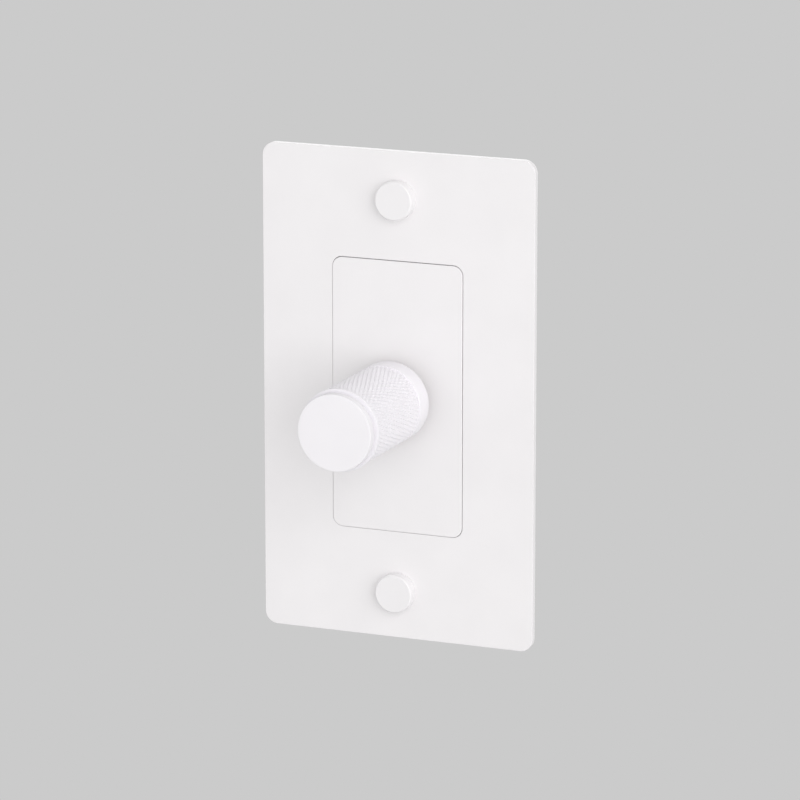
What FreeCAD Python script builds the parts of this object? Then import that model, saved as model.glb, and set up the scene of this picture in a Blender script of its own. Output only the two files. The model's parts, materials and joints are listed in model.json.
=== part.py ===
"""Rotary push dimmer on a one-gang wall plate.

Millimetres. X is right, Z is up and the front faces -Y. The wall plane is y = 0 and the origin
is the middle of the plate's outline on that plane. Everything behind the wall has y > 0.
"""
import FreeCAD
import Part

import math
import os

# ---- driving dimensions -------------------------------------------------------------------
# wall plate
PLATE_W = 70.0
PLATE_H = 120.0
PLATE_T = 1.6
PLATE_R = 3.2
PLATE_EDGE_R = 0.15
PLATE_SCREW_Z = 48.4
PLATE_HOLE_R = 2.0
PLATE_SHANK_R = 1.7
POCKET_DEPTH = 0.9
POCKET_W = 60.0
POCKET_H = 112.0
POCKET_R = 3.0

# window in the plate and the panel that fills it
WINDOW_W = 33.8
WINDOW_H = 67.0
WINDOW_R = 2.6
PANEL_T = 1.6
PANEL_GAP = 0.14
PANEL_SHIFT = -0.06
PANEL_PROUD = 0.15
PANEL_EDGE_R = 0.2
PANEL_SCREW_Z = 27.0
PANEL_PILOT_R = 1.25

# mounting strap
STRAP_T = 0.9
STRAP_W = 44.0
STRAP_H = 107.0
STRAP_STEP = 2.2
STRAP_R = 8.0
NOTCH_R = 2.2
EAR_FOOT_Z = 46.4
STEP_RUN = 1.6
BOX_SCREW_Z = 41.65
BOX_HOLE_R = 2.2

# knob, measured out from the front of the plate
KNOB_R = 9.8
KNOB_BACK = 4.0
KNOB_FACE = 39.0
KNOB_PUSH = 1.5
DISC_R = 9.25
DISC_T = 2.2
GROOVE_R = 8.5
GROOVE_W = 0.8
LIP_R = 9.95
LIP_T = 0.95
RELIEF_R = 9.45
RELIEF_W = 0.4
BASE_LENGTH = 5.5
HUB_R = 5.4
NEST_R = 7.0
NEST_DEPTH = 1.0
GRUB_R = 1.5
GRUB_OUT = 7.6

# control shaft and its bushing
SHAFT_R = 3.0
SHAFT_FLAT = 2.2
RUNNING_GAP = 0.06
BUSHING_R = 4.0
BUSHING_OUT = 3.4
NUT_ACROSS_FLATS = 11.0
NUT_T = 2.0
WASHER_R = 6.8
WASHER_T = 0.5

# rear housing
CASE_W = 43.0
CASE_H = 70.0
CASE_BACK = 36.0
CASE_WALL = 1.6
CASE_R = 3.0
POST_X = 17.5
POST_Z = 30.5
POST_R = 2.6
POST_HOLE_R = 1.0
POST_HOLE_DEPTH = 12.0
RIM_WIDTH = 0.5
RIM_T = 1.5
LABEL_W = 30.0
LABEL_H = 40.0
LABEL_Z = 8.0
LABEL_DEPTH = 0.4
LABEL_R = 2.0

# circuit board
BOARD_FRONT = 20.0
BOARD_T = 1.6
BOARD_W = 38.0
BOARD_H = 61.0
BOARD_NOTCH = 6.2

# wire terminals
TERMINAL_XS = (-9.5, 0.0, 9.5)
TERMINAL_Z = -25.5
WIRE_HOLE_R = 1.65
WIRE_MOUTH_R = 2.0
CLAMP_SCREW_R = 1.5
TOOL_HOLE_R = 3.1

# clearances and overlaps
THREAD_GAP = 0.05
HOLE_GAP = 0.1
OVERRUN = 1.0
ROOT = 0.4

# ---- places worked out from them ------------------------------------------------------------
PLATE_FRONT = -PLATE_T
STRAP_FRONT = STRAP_STEP - STRAP_T
STRAP_BACK = STRAP_STEP
PANEL_FRONT = PLATE_FRONT - PANEL_PROUD
PANEL_BACK = PANEL_FRONT + PANEL_T
CASE_FLOOR = CASE_BACK - CASE_WALL
BOARD_BACK = BOARD_FRONT + BOARD_T
LEAD_END = BOARD_BACK + 1.2
INNER_W = CASE_W - 2 * CASE_WALL
INNER_H = CASE_H - 2 * CASE_WALL
PARTS = "parts"
Y_AXIS = FreeCAD.Vector(0, 1, 0)


# ---- small builders -------------------------------------------------------------------------
def block(x0, x1, y0, y1, z0, z1):
    """A box between two corners."""
    return Part.makeBox(x1 - x0, y1 - y0, z1 - z0, FreeCAD.Vector(x0, y0, z0))


def rod_y(radius, y0, y1, x=0.0, z=0.0):
    """A round rod along Y."""
    return Part.makeCylinder(radius, y1 - y0, FreeCAD.Vector(x, y0, z), Y_AXIS)


def rod_x(radius, x0, x1, y=0.0, z=0.0):
    """A round rod along X."""
    return Part.makeCylinder(radius, x1 - x0, FreeCAD.Vector(x0, y, z), FreeCAD.Vector(1, 0, 0))


def rod_z(radius, z0, z1, x=0.0, y=0.0):
    """A round rod along Z."""
    return Part.makeCylinder(radius, z1 - z0, FreeCAD.Vector(x, y, z0), FreeCAD.Vector(0, 0, 1))


def ring_y(outer, inner, y0, y1, x=0.0, z=0.0):
    """A tube along Y."""
    return rod_y(outer, y0, y1, x, z).cut(rod_y(inner, y0 - OVERRUN, y1 + OVERRUN, x, z))


def slab(width, height, radius, y0, y1, z=0.0):
    """A rounded rectangle in the XZ plane, thick along Y."""
    body = block(-width / 2, width / 2, y0, y1, z - height / 2, z + height / 2)
    corners = [e for e in body.Edges if abs(e.tangentAt(e.FirstParameter).y) > 0.99]
    return body.makeFillet(radius, corners)


def turned(profile):
    """A shape turned about the Y axis from (radius, y) points that close on themselves."""
    points = [FreeCAD.Vector(radius, y, 0) for radius, y in profile]
    face = Part.Face(Part.makePolygon(points + points[:1]))
    return face.revolve(FreeCAD.Vector(0, 0, 0), Y_AXIS, 360)


def hexagon_y(across_flats, y0, y1, x=0.0, z=0.0):
    """A hexagonal prism along Y."""
    corner = across_flats / math.sqrt(3)
    points = []
    for turn in range(6):
        angle = math.radians(60 * turn)
        points.append(FreeCAD.Vector(x + corner * math.cos(angle), y0, z + corner * math.sin(angle)))
    face = Part.Face(Part.makePolygon(points + points[:1]))
    return face.extrude(FreeCAD.Vector(0, y1 - y0, 0))


def front_edges(shape, y):
    """The edges of a shape that lie in the plane at y."""
    return [e for e in shape.Edges if e.BoundBox.YMax - y < 0.01 and y - e.BoundBox.YMin < 0.01]


def mirrored_pair(make, distance):
    """The same piece at +distance and -distance."""
    return Part.makeCompound([make(distance), make(-distance)])


def d_rod(radius, flat, y0, y1):
    """A round rod along Y with one flat, on its underside."""
    side = radius + OVERRUN
    return rod_y(radius, y0, y1).cut(block(-side, side, y0 - OVERRUN, y1 + OVERRUN, -side, -flat))


def cross_slot(y_face, depth, x=0.0, z=0.0, reach=1.3, half_width=0.3):
    """The cross recess of a small screw whose head has its face at y_face."""
    y0 = min(y_face, y_face + depth)
    y1 = max(y_face, y_face + depth)
    across = block(x - reach, x + reach, y0, y1, z - half_width, z + half_width)
    upright = block(x - half_width, x + half_width, y0, y1, z - reach, z + reach)
    return across.fuse(upright)


# ---- what shows from the room -----------------------------------------------------------------
def wall_plate():
    """The flat plate with its window, two screw holes and a shallow pocket for the strap."""
    plate = slab(PLATE_W, PLATE_H, PLATE_R, PLATE_FRONT, 0)
    plate = plate.makeFillet(PLATE_EDGE_R, front_edges(plate, PLATE_FRONT))
    plate = plate.cut(slab(WINDOW_W, WINDOW_H, WINDOW_R, PLATE_FRONT - OVERRUN, OVERRUN))
    plate = plate.cut(slab(POCKET_W, POCKET_H, POCKET_R, -POCKET_DEPTH, OVERRUN))
    for z in (PLATE_SCREW_Z, -PLATE_SCREW_Z):
        plate = plate.cut(rod_y(PLATE_HOLE_R, PLATE_FRONT - OVERRUN, OVERRUN, z=z))
    return plate


def plate_screw(z):
    """A plain round head with a fine chamfer, and a threaded shank into the strap."""
    head_r = 4.75
    head_t = 3.0
    chamfer = 0.3
    shank_end = 9.0
    tip = 0.7
    top = PLATE_FRONT - head_t
    screw = turned([
        (0, top), (head_r - chamfer, top), (head_r, top + chamfer), (head_r, PLATE_FRONT),
        (PLATE_SHANK_R, PLATE_FRONT), (PLATE_SHANK_R, shank_end - tip), (PLATE_SHANK_R - tip, shank_end),
        (0, shank_end),
    ])
    return screw.translated(FreeCAD.Vector(0, 0, z))


def insert_panel():
    """The panel in the window, a hair proud, low and to the left, with three bosses behind it."""
    width = WINDOW_W - 2 * PANEL_GAP
    height = WINDOW_H - 2 * PANEL_GAP
    panel = slab(width, height, WINDOW_R - PANEL_GAP, PANEL_FRONT, PANEL_BACK)
    panel = panel.makeFillet(PANEL_EDGE_R, front_edges(panel, PANEL_FRONT))
    panel = panel.translated(FreeCAD.Vector(PANEL_SHIFT, 0, PANEL_SHIFT))
    centre_boss_r = 7.0
    side_boss_r = 3.0
    pilot_depth = 1.0
    panel = panel.fuse(rod_y(centre_boss_r, PANEL_BACK - ROOT, STRAP_FRONT))
    panel = panel.cut(rod_y(BUSHING_R + HOLE_GAP, PANEL_FRONT - OVERRUN, STRAP_FRONT + OVERRUN))
    for z in (PANEL_SCREW_Z, -PANEL_SCREW_Z):
        panel = panel.fuse(rod_y(side_boss_r, PANEL_BACK - ROOT, STRAP_FRONT, z=z))
        panel = panel.cut(rod_y(PANEL_PILOT_R, PANEL_BACK - pilot_depth, STRAP_FRONT + OVERRUN, z=z))
    return panel


def insert_screw(z):
    """A short cross-head screw from behind the strap into a boss of the insert panel."""
    head_r = 2.2
    head_t = 1.5
    reach = 0.9
    slot_depth = 0.8
    head_end = STRAP_BACK + head_t
    screw = rod_y(head_r, STRAP_BACK, head_end, z=z)
    screw = screw.fuse(rod_y(PANEL_PILOT_R - THREAD_GAP, PANEL_BACK - reach, STRAP_BACK, z=z))
    return screw.cut(cross_slot(head_end, -slot_depth, z=z))


# ---- the knob ----------------------------------------------------------------------------------
def knob_y(out):
    """The y of a place that stands out from the front of the plate."""
    return PLATE_FRONT - out


HUB_BACK = 5.4
HUB_FRONT = 27.5
HUB_END_WALL = 1.5
CAP_STUD_R = 3.0
CAP_STUD_LENGTH = 6.0


def knob_body():
    """The turned knob: smooth base, gripping stretch, relief groove and front lip."""
    front = KNOB_FACE - DISC_T - GROOVE_W
    base_end = KNOB_BACK + BASE_LENGTH
    lip_back = front - LIP_T
    relief_back = lip_back - RELIEF_W
    chamfer = 0.3
    stud_end = front - CAP_STUD_LENGTH - HOLE_GAP
    hub_end = HUB_FRONT + HOLE_GAP
    nest_end = KNOB_BACK + NEST_DEPTH
    hub_hole_r = HUB_R + THREAD_GAP
    outline = [
        (NEST_R, KNOB_BACK), (KNOB_R - chamfer, KNOB_BACK), (KNOB_R, KNOB_BACK + chamfer), (KNOB_R, base_end),
        (RELIEF_R, base_end), (RELIEF_R, base_end + RELIEF_W), (KNOB_R, base_end + RELIEF_W),
        (KNOB_R, relief_back), (RELIEF_R, relief_back), (RELIEF_R, lip_back), (LIP_R, lip_back),
        (LIP_R, front), (CAP_STUD_R, front), (CAP_STUD_R, stud_end), (0, stud_end), (0, hub_end),
        (hub_hole_r, hub_end), (hub_hole_r, nest_end), (NEST_R, nest_end),
    ]
    body = turned([(radius, knob_y(out)) for radius, out in outline])
    return body.cut(rod_z(GRUB_R + THREAD_GAP, -KNOB_R - OVERRUN, -HUB_R + OVERRUN, y=knob_y(GRUB_OUT)))


def knob_cap():
    """The flat front disc, its stud in the knob body and the groove that sets it off."""
    groove_back = KNOB_FACE - DISC_T - GROOVE_W
    chamfer = 0.2
    outline = [
        (0, KNOB_FACE), (DISC_R - chamfer, KNOB_FACE), (DISC_R, KNOB_FACE - chamfer),
        (DISC_R, KNOB_FACE - DISC_T), (GROOVE_R, KNOB_FACE - DISC_T), (GROOVE_R, groove_back),
        (CAP_STUD_R - THREAD_GAP, groove_back),
        (CAP_STUD_R - THREAD_GAP, groove_back - CAP_STUD_LENGTH), (0, groove_back - CAP_STUD_LENGTH),
    ]
    return turned([(radius, knob_y(out)) for radius, out in outline])


def knob_hub():
    """The moulded bush inside the knob, with a D bore for the shaft and a hole for the grub screw."""
    hub = rod_y(HUB_R, knob_y(HUB_FRONT), knob_y(HUB_BACK))
    fit = 0.02
    bore_end = HUB_FRONT - HUB_END_WALL
    hub = hub.cut(d_rod(SHAFT_R + fit, SHAFT_FLAT + fit, knob_y(bore_end), knob_y(HUB_BACK) + OVERRUN))
    return hub.cut(rod_z(GRUB_R + THREAD_GAP, -KNOB_R, -OVERRUN, y=knob_y(GRUB_OUT)))


def knob_grub_screw():
    """The socket grub screw under the knob, tight on the flat of the shaft."""
    y = knob_y(GRUB_OUT)
    sunk = 0.6
    socket_r = 0.75
    socket_depth = 2.0
    foot = -KNOB_R + sunk
    screw = rod_z(GRUB_R, foot, -SHAFT_FLAT, y=y)
    return screw.cut(rod_z(socket_r, foot - OVERRUN, foot + socket_depth, y=y))


# ---- shaft, bushing and potentiometer ------------------------------------------------------------
BUSHING_FLANGE_R = 5.5
BUSHING_FLANGE_T = 1.0
POT_FRONT = STRAP_BACK + BUSHING_FLANGE_T
POT_BACK = POT_FRONT + 9.4
POT_R = 8.5
POT_WALL = 1.0
POT_FLOOR = 1.2
ROTOR_FRONT = POT_FRONT + 3.6
ROTOR_DISC_BACK = ROTOR_FRONT + 1.8
WAFER_T = 1.2
WAFER_FRONT = POT_BACK - WAFER_T
TRACK_T = 0.2
TRACK_IN = 4.9
TRACK_OUT = 6.7
TONGUE_HALF_W = 6.0
TONGUE_Z0 = 3.0
TONGUE_Z1 = 10.6
PIN_XS = (-4.0, 0.0, 4.0)
PIN_Z = 9.2
PIN_HALF_W = 0.45
PIN_HALF_H = 0.35
REST_ANGLE = 240.0
SHAFT_BACK = POT_BACK + 0.8
CLIP_FRONT = POT_FRONT + POT_FLOOR + 0.15
CLIP_T = 0.6
CLIP_NECK_R = 2.6


def control_shaft():
    """The long shaft: a flat under the knob, a flat through the rotor and a groove for its clip."""
    end_gap = 0.3
    flat_lead = 0.6
    front = knob_y(HUB_FRONT - HUB_END_WALL - end_gap)
    rotor_flat_front = POT_FRONT - flat_lead
    side = SHAFT_R + OVERRUN
    shaft = rod_y(SHAFT_R, front, SHAFT_BACK)
    shaft = shaft.cut(block(-side, side, front - OVERRUN, knob_y(HUB_BACK), -side, -SHAFT_FLAT))
    shaft = shaft.cut(block(-side, side, rotor_flat_front, SHAFT_BACK + OVERRUN, -side, -SHAFT_FLAT))
    return shaft.cut(ring_y(side, CLIP_NECK_R, CLIP_FRONT, CLIP_FRONT + CLIP_T))


def shaft_clip():
    """The E-clip that stops the shaft being pulled out."""
    outer = 4.6
    mouth = 2.0
    gap = 0.02
    back = CLIP_FRONT + CLIP_T
    clip = ring_y(outer, CLIP_NECK_R + gap, CLIP_FRONT + THREAD_GAP, back - THREAD_GAP)
    return clip.cut(block(-mouth, mouth, CLIP_FRONT - OVERRUN, back + OVERRUN, 0, outer + OVERRUN))


def bushing():
    """The threaded guide of the shaft, with a flange behind the strap."""
    bore = SHAFT_R + RUNNING_GAP
    front = knob_y(BUSHING_OUT)
    chamfer = 0.4
    return turned([
        (bore, front), (BUSHING_R - chamfer, front), (BUSHING_R, front + chamfer), (BUSHING_R, STRAP_BACK),
        (BUSHING_FLANGE_R, STRAP_BACK), (BUSHING_FLANGE_R, POT_FRONT), (bore, POT_FRONT),
    ])


def bushing_washer():
    """The toothed lock washer under the nut."""
    front = PANEL_FRONT - WASHER_T
    washer = ring_y(WASHER_R, BUSHING_R + THREAD_GAP, front, PANEL_FRONT)
    teeth = 12
    notch_r = 0.5
    for tooth in range(teeth):
        angle = 2 * math.pi * tooth / teeth
        x = WASHER_R * math.cos(angle)
        z = WASHER_R * math.sin(angle)
        washer = washer.cut(rod_y(notch_r, front - OVERRUN, PANEL_FRONT + OVERRUN, x, z))
    return washer


def bushing_nut():
    """The hexagon nut that clamps the bushing, the strap and the insert panel."""
    back = PANEL_FRONT - WASHER_T
    front = back - NUT_T
    nut = hexagon_y(NUT_ACROSS_FLATS, front, back)
    return nut.cut(rod_y(BUSHING_R + THREAD_GAP, front - OVERRUN, back + OVERRUN))


def pot_case():
    """The cup of the potentiometer, with a stop lug at the bottom and a mouth for the wafer's tongue."""
    inner = POT_R - POT_WALL
    floor = POT_FRONT + POT_FLOOR
    shaft_hole_r = SHAFT_R + 0.3
    stop_half = 0.8
    stop_height = 0.8
    case = rod_y(POT_R, POT_FRONT, POT_BACK)
    case = case.cut(rod_y(inner, floor, POT_BACK + OVERRUN))
    case = case.cut(rod_y(shaft_hole_r, POT_FRONT - OVERRUN, floor + OVERRUN))
    stop = block(-stop_half, stop_half, floor - ROOT, ROTOR_DISC_BACK, -inner - ROOT, -inner + stop_height)
    case = case.fuse(stop)
    half = TONGUE_HALF_W + 2 * HOLE_GAP
    mouth_front = WAFER_FRONT - HOLE_GAP
    return case.cut(block(-half, half, mouth_front, POT_BACK + OVERRUN, TONGUE_Z0, POT_R + OVERRUN))


def pot_wafer():
    """The insulating wafer that closes the cup, with a tongue for the terminals."""
    shaft_hole_r = SHAFT_R + 0.4
    slot_half_w = PIN_HALF_W + THREAD_GAP
    slot_half_h = PIN_HALF_H + THREAD_GAP
    wafer = rod_y(POT_R - POT_WALL - HOLE_GAP, WAFER_FRONT, POT_BACK)
    wafer = wafer.fuse(block(-TONGUE_HALF_W, TONGUE_HALF_W, WAFER_FRONT, POT_BACK, TONGUE_Z0, TONGUE_Z1))
    wafer = wafer.cut(rod_y(shaft_hole_r, WAFER_FRONT - OVERRUN, POT_BACK + OVERRUN))
    for x in PIN_XS:
        wafer = wafer.cut(block(x - slot_half_w, x + slot_half_w, WAFER_FRONT - OVERRUN, POT_BACK + OVERRUN,
                                PIN_Z - slot_half_h, PIN_Z + slot_half_h))
    return wafer


def pot_track():
    """The carbon track, a ring with a gap at the bottom."""
    gap_half = 2.2
    track = ring_y(TRACK_OUT, TRACK_IN, WAFER_FRONT - TRACK_T, WAFER_FRONT)
    return track.cut(block(-gap_half, gap_half, WAFER_FRONT - OVERRUN, WAFER_FRONT + OVERRUN, -POT_R, 0))


def pot_pins():
    """Three terminal pins from the wafer's tongue back through the circuit board."""
    head = 0.3
    front = WAFER_FRONT - head
    pins = []
    for x in PIN_XS:
        pins.append(block(x - PIN_HALF_W, x + PIN_HALF_W, front, LEAD_END,
                          PIN_Z - PIN_HALF_H, PIN_Z + PIN_HALF_H))
    return Part.makeCompound(pins)


def pot_rotor():
    """The moulded rotor that the shaft turns, with a D bore and a stop tab."""
    disc_r = 6.3
    rotor_hub_r = 4.2
    tab_r = 0.45
    tab_reach = 6.5
    hub_back = WAFER_FRONT - TRACK_T
    rotor = rod_y(disc_r, ROTOR_FRONT, ROTOR_DISC_BACK).fuse(rod_y(rotor_hub_r, ROTOR_FRONT, hub_back))
    angle = math.radians(REST_ANGLE)
    x = tab_reach * math.cos(angle)
    z = tab_reach * math.sin(angle)
    rotor = rotor.fuse(rod_y(tab_r, ROTOR_FRONT, ROTOR_DISC_BACK, x, z))
    bore_r = SHAFT_R + RUNNING_GAP
    return rotor.cut(d_rod(bore_r, SHAFT_FLAT + RUNNING_GAP, ROTOR_FRONT - OVERRUN, hub_back + OVERRUN))


def pot_wiper():
    """The sprung brush on the back of the rotor, bearing on the track."""
    middle = (TRACK_IN + TRACK_OUT) / 2
    track_front = WAFER_FRONT - TRACK_T
    strip_t = 0.4
    foot_half = 1.0
    foot_in = 4.3
    foot_out = 6.2
    arm_half = 0.5
    finger_r = 0.3
    finger_y = track_front - finger_r - THREAD_GAP
    arm_z = middle - arm_half
    foot_back = ROTOR_DISC_BACK + strip_t
    foot = block(-foot_half, foot_half, ROTOR_DISC_BACK, foot_back, foot_in, foot_out)
    arm = block(-arm_half, arm_half, ROTOR_DISC_BACK, finger_y, arm_z, arm_z + strip_t)
    finger = rod_x(finger_r, -arm_half, arm_half, y=finger_y, z=arm_z + strip_t / 2)
    wiper = foot.fuse(arm).fuse(finger)
    wiper.rotate(FreeCAD.Vector(0, 0, 0), Y_AXIS, 90 - REST_ANGLE)
    return wiper


# ---- push switch -----------------------------------------------------------------------------------
SWITCH_FRONT = POT_BACK + 0.3
SWITCH_WALL = 1.0
SWITCH_X = 6.5
SWITCH_Z0 = -10.5
SWITCH_Z1 = 6.5
PLUNGER_FRONT = SHAFT_BACK + 0.1
FLANGE_FRONT = PLUNGER_FRONT + 0.6
FLANGE_BACK = FLANGE_FRONT + 0.8
FLANGE_R = 4.4
LEVER_T = 0.3
LEVER_PIVOT_Y = FLANGE_BACK + 0.1 + LEVER_T / 2
LEVER_PIVOT_Z = -8.6
LEVER_TIP_Z = -3.4
SPRING_R = 2.3
SPRING_WIRE_R = 0.25
SPRING_TURNS = 4.0
CONTACT_HALF_W = 1.0
POST_ZS = (-9.2, -8.4)
FIXED_ZS = (-6.6, -5.2)


def contact_slots(y0, y1):
    """The two slots for the contacts of the switch, with a gap all round."""
    half = CONTACT_HALF_W + HOLE_GAP
    return [block(-half, half, y0, y1, z0 - HOLE_GAP, z1 + HOLE_GAP) for z0, z1 in (POST_ZS, FIXED_ZS)]


def switch_case():
    """The moulded box of the push switch, soldered to the front of the circuit board."""
    case = block(-SWITCH_X, SWITCH_X, SWITCH_FRONT, BOARD_FRONT, SWITCH_Z0, SWITCH_Z1)
    wall = SWITCH_WALL
    inside = block(-SWITCH_X + wall, SWITCH_X - wall, SWITCH_FRONT + wall, BOARD_FRONT - wall,
                   SWITCH_Z0 + wall, SWITCH_Z1 - wall)
    case = case.cut(inside)
    shaft_hole_r = SHAFT_R + 0.4
    case = case.cut(rod_y(shaft_hole_r, SWITCH_FRONT - OVERRUN, SWITCH_FRONT + wall + ROOT))
    for slot in contact_slots(BOARD_FRONT - wall - ROOT, BOARD_FRONT + OVERRUN):
        case = case.cut(slot)
    return case


def switch_plunger():
    """The plunger that the end of the shaft pushes."""
    head_r = 2.6
    tail_r = 1.2
    end_gap = 0.2
    tail_back = BOARD_FRONT - SWITCH_WALL - KNOB_PUSH - end_gap
    return turned([
        (0, PLUNGER_FRONT), (head_r, PLUNGER_FRONT), (head_r, FLANGE_FRONT), (FLANGE_R, FLANGE_FRONT),
        (FLANGE_R, FLANGE_BACK), (tail_r, FLANGE_BACK), (tail_r, tail_back), (0, tail_back),
    ])


def switch_spring():
    """The coil spring that returns the plunger."""
    start = FLANGE_BACK + SPRING_WIRE_R + THREAD_GAP
    end = BOARD_FRONT - SWITCH_WALL - SPRING_WIRE_R - THREAD_GAP
    pitch = (end - start) / SPRING_TURNS
    helix = Part.makeHelix(pitch, end - start, SPRING_R)
    wire_end = Part.makeCircle(SPRING_WIRE_R, FreeCAD.Vector(SPRING_R, 0, 0), FreeCAD.Vector(0, 1, 0))
    path = Part.Wire(helix.Edges)
    spring = path.makePipeShell([Part.Wire([wire_end])], True, True)
    spring.rotate(FreeCAD.Vector(0, 0, 0), FreeCAD.Vector(1, 0, 0), -90)
    return spring.translated(FreeCAD.Vector(0, start, 0))


def switch_lever():
    """The contact lever, which the plunger's flange presses back."""
    half = 1.5
    tail = 0.4
    rivet_r = 0.6
    rivet_t = 0.25
    y0 = LEVER_PIVOT_Y - LEVER_T / 2
    y1 = LEVER_PIVOT_Y + LEVER_T / 2
    lever = block(-half, half, y0, y1, LEVER_PIVOT_Z - tail, LEVER_TIP_Z)
    return lever.fuse(rod_y(rivet_r, y1, y1 + rivet_t, z=sum(FIXED_ZS) / 2))


def switch_contacts():
    """The common post under the lever's pivot and the fixed contact, both through the board."""
    post_gap = 0.35
    fixed_gap = 1.75
    contacts = []
    for (z0, z1), behind_lever in ((POST_ZS, post_gap), (FIXED_ZS, fixed_gap)):
        front = LEVER_PIVOT_Y + behind_lever
        contacts.append(block(-CONTACT_HALF_W, CONTACT_HALF_W, front, LEAD_END, z0, z1))
    return Part.makeCompound(contacts)


# ---- strap and housing -------------------------------------------------------------------------------
def mounting_strap():
    """The pressed strap: two ears on the wall and a centre set back by one step."""
    half = STRAP_H / 2
    foot = EAR_FOOT_Z
    well = EAR_FOOT_Z - STEP_RUN
    front = [(-STRAP_T, half), (-STRAP_T, foot), (STRAP_FRONT, well)]
    back = [(STRAP_BACK, well), (0, foot), (0, half)]
    outline = front + [(y, -z) for y, z in reversed(front)] + [(y, -z) for y, z in reversed(back)] + back
    points = [FreeCAD.Vector(-STRAP_W / 2, y, z) for y, z in outline]
    strap = Part.Face(Part.makePolygon(points + points[:1])).extrude(FreeCAD.Vector(STRAP_W, 0, 0))
    y0 = -STRAP_T - OVERRUN
    y1 = STRAP_BACK + OVERRUN
    strap = strap.common(slab(STRAP_W, STRAP_H, STRAP_R, y0, y1))
    holes = [(0, 0, BUSHING_R + HOLE_GAP), (TRIAC_X, TRIAC_HOLE_Z, TRIAC_SCREW_R + THREAD_GAP),
             (EARTH_X, EARTH_Z, EARTH_R + THREAD_GAP)]
    for z in (1, -1):
        holes.append((0, z * PLATE_SCREW_Z, PLATE_SHANK_R + THREAD_GAP))
        holes.append((0, z * BOX_SCREW_Z, BOX_HOLE_R))
        holes.append((0, z * PANEL_SCREW_Z, PANEL_PILOT_R + HOLE_GAP))
        for x in (1, -1):
            holes.append((x * POST_X, z * POST_Z, POST_HOLE_R + 3 * HOLE_GAP))
            holes.append((x * STRAP_W / 2, z * BOX_SCREW_Z, NOTCH_R))
    for x, z, radius in holes:
        strap = strap.cut(rod_y(radius, y0, y1, x, z))
    return strap


def rear_housing():
    """The moulded case, with four screw posts, board ledges and terminal openings."""
    case = slab(CASE_W, CASE_H, CASE_R, STRAP_BACK, CASE_BACK)
    back_edge = 1.0
    case = case.makeFillet(back_edge, front_edges(case, CASE_BACK))
    case = case.fuse(slab(CASE_W + 2 * RIM_WIDTH, CASE_H + 2 * RIM_WIDTH, CASE_R + RIM_WIDTH,
                          STRAP_BACK, STRAP_BACK + RIM_T))
    case = case.cut(slab(LABEL_W, LABEL_H, LABEL_R, CASE_BACK - LABEL_DEPTH, CASE_BACK + OVERRUN, LABEL_Z))
    case = case.cut(slab(INNER_W, INNER_H, CASE_R - CASE_WALL, STRAP_BACK - OVERRUN, CASE_FLOOR))
    for x in (-POST_X, POST_X):
        for z in (-POST_Z, POST_Z):
            case = case.fuse(rod_y(POST_R, STRAP_BACK, CASE_FLOOR + ROOT, x, z))
            case = case.cut(rod_y(POST_HOLE_R, STRAP_BACK - OVERRUN, STRAP_BACK + POST_HOLE_DEPTH, x, z))
    ledge_half = 1.5
    ledge_reach = 1.6
    for side in (-1, 1):
        x0, x1 = sorted((side * (INNER_W / 2 + ROOT), side * (INNER_W / 2 - ledge_reach)))
        case = case.fuse(block(x0, x1, BOARD_BACK, CASE_FLOOR + ROOT, -ledge_half, ledge_half))
    for x in TERMINAL_XS:
        case = case.cut(rod_y(WIRE_MOUTH_R, CASE_FLOOR - OVERRUN, CASE_BACK + OVERRUN, x, TERMINAL_Z))
        case = case.cut(rod_z(TOOL_HOLE_R, -CASE_H / 2 - OVERRUN, -INNER_H / 2 + OVERRUN, x, TERMINAL_Y))
    return case


def housing_screw(x, z):
    """A thread-forming screw through the strap into a post of the housing."""
    head_r = 2.1
    head_t = 1.2
    length = 11.0
    slot_depth = 0.6
    head_front = STRAP_FRONT - head_t
    screw = rod_y(head_r, head_front, STRAP_FRONT, x, z)
    screw = screw.fuse(rod_y(POST_HOLE_R - THREAD_GAP, STRAP_FRONT, STRAP_FRONT + length, x, z))
    return screw.cut(cross_slot(head_front, slot_depth, x, z))


def housing_screws():
    """One screw for each post."""
    screws = []
    for x in (-POST_X, POST_X):
        for z in (-POST_Z, POST_Z):
            screws.append(housing_screw(x, z))
    return Part.makeCompound(screws)


EARTH_X = -14.5
EARTH_Z = -40.6
EARTH_R = 1.85


def ground_screw():
    """The green hexagon earth screw on the back of the strap, slotted, with a washer face."""
    washer_r = 4.1
    washer_t = 0.7
    head_t = 3.2
    across_flats = 6.6
    tip = -0.6
    slot_half = 0.5
    slot_depth = 1.0
    washer_end = STRAP_BACK + washer_t
    head_end = STRAP_BACK + head_t
    screw = rod_y(washer_r, STRAP_BACK, washer_end, EARTH_X, EARTH_Z)
    screw = screw.fuse(hexagon_y(across_flats, washer_end, head_end, EARTH_X, EARTH_Z))
    screw = screw.fuse(rod_y(EARTH_R, tip, STRAP_BACK, EARTH_X, EARTH_Z))
    slot = block(EARTH_X - washer_r, EARTH_X + washer_r, head_end - slot_depth, head_end + OVERRUN,
                 EARTH_Z - slot_half, EARTH_Z + slot_half)
    return screw.cut(slot)


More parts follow.
